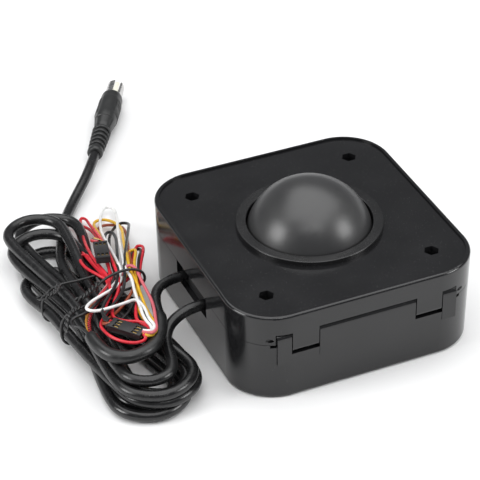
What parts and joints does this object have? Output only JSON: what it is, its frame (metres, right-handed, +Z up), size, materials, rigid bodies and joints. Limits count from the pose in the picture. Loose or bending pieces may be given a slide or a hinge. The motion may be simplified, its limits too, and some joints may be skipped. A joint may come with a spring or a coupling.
{
  "type": "arcade trackball",
  "caption": "Square black arcade trackball unit: a ball on rollers in a hinged two-part housing, with a PS/2 lead and a harness tied in a hank.",
  "frame": {"origin": "middle of the housing's underside", "axes": "+Z up out of the panel, +X along the hinge face, +Y from the hinge face to the back"},
  "size_m": [0.1728, 0.2606, 0.063],
  "materials": {
    "lower_shell": "black injection-moulded ABS, gloss",
    "upper_shell": "black injection-moulded ABS, polished top",
    "collar": "black ABS, satin",
    "ball": "dark grey phenolic, satin polish",
    "ball_core": "dark phenolic",
    "cradle": "black acetal, matte",
    "steel_shaft": "ground steel",
    "bearing_steel": "bearing steel",
    "roller_sleeve": "natural acetal",
    "encoder_wheel": "black moulded nylon",
    "opto": "black polycarbonate sensor body",
    "circuit_board": "green solder mask on glass epoxy",
    "chip": "black epoxy package",
    "crystal_can": "drawn can",
    "capacitor": "dark sleeve",
    "header": "natural nylon",
    "screw": "zinc plated steel",
    "clamp": "black nylon",
    "cable_jacket": "black PVC jacket, satin",
    "harness_sleeve": "dark grey PVC sleeve",
    "wire_insulation": "coloured PVC insulation",
    "crimp_housing": "black nylon",
    "tie": "black PVC twist tie",
    "plug_moulding": "black PVC overmould",
    "plug_shell": "nickel plated steel",
    "plug_insert": "white insulator",
    "plug_pins": "gold flashed brass"
  },
  "bodies": {
    "base": {"back_connector": "crimp_housing", "base_shell": "lower_shell", "board_headers": "header", "board_screws": "screw", "cable_clamp": "clamp", "capacitor": "capacitor", "clamp_screws": "screw", "controller_board": "circuit_board", "controller_chip": "chip", "cradle_screws": "screw", "crystal": "crystal_can", "front_connector": "crimp_housing", "hank_ties": "tie", "harness_lead": "cable_jacket", "harness_sleeve": "harness_sleeve", "harness_tail": "cable_jacket", "hinge_pin": "steel_shaft", "idler_axle": "steel_shaft", "plug_body": "plug_moulding", "plug_insert": "plug_insert", "plug_pins": "plug_pins", "plug_relief": "plug_moulding", "plug_shell": "plug_shell", "ps2_hank": "cable_jacket", "ps2_lead": "cable_jacket", "ps2_riser": "cable_jacket", "ps2_tail": "cable_jacket", "roller_cradle": "cradle", "wire_fold_back": "wire_insulation", "wire_fold_front": "wire_insulation", "x_bearing_rings": "bearing_steel", "x_opto_fork": "opto", "x_sensor_board": "circuit_board", "y_bearing_rings": "bearing_steel", "y_opto_fork": "opto", "y_sensor_board": "circuit_board"},
    "lid": {"top_shell": "upper_shell", "ball_collar": "collar"},
    "ball_core": {"ball_core": "ball_core"},
    "ball": {"ball": "ball"},
    "x_roller": {"x_roller_shaft": "steel_shaft", "x_roller_sleeve": "roller_sleeve", "x_encoder_wheel": "encoder_wheel", "x_inner_rings": "bearing_steel"},
    "y_roller": {"y_roller_shaft": "steel_shaft", "y_roller_sleeve": "roller_sleeve", "y_encoder_wheel": "encoder_wheel", "y_inner_rings": "bearing_steel"},
    "idler": {"idler_roller": "bearing_steel"}
  },
  "joints": [
    {"name": "lid_hinge", "type": "hinge", "parent": "base", "child": "lid", "pos_m": [0, -0.0564, 0.031], "axis": [1, 0, 0], "range_deg": [0, 95]},
    {"name": "ball_roll_x", "type": "hinge", "parent": "base", "child": "ball_core", "pos_m": [0, 0, 0.0344], "axis": [0, 1, 0], "continuous": true},
    {"name": "ball_roll_y", "type": "hinge", "parent": "ball_core", "child": "ball", "pos_m": [0, 0, 0.0344], "axis": [1, 0, 0], "continuous": true},
    {"name": "x_roller_spin", "type": "hinge", "parent": "base", "child": "x_roller", "pos_m": [0.02591, 0, 0.01416], "axis": [0, 1, 0], "continuous": true},
    {"name": "y_roller_spin", "type": "hinge", "parent": "base", "child": "y_roller", "pos_m": [0, 0.02591, 0.01416], "axis": [1, 0, 0], "continuous": true},
    {"name": "idler_spin", "type": "hinge", "parent": "base", "child": "idler", "pos_m": [-0.01971, -0.01971, 0.01262], "axis": [0.7071, -0.7071, 0], "continuous": true}
  ],
  "couplings": [
    {"joint": "x_roller_spin", "follows": "ball_roll_x", "ratio": -7.1437},
    {"joint": "y_roller_spin", "follows": "ball_roll_y", "ratio": -7.1437}
  ]
}
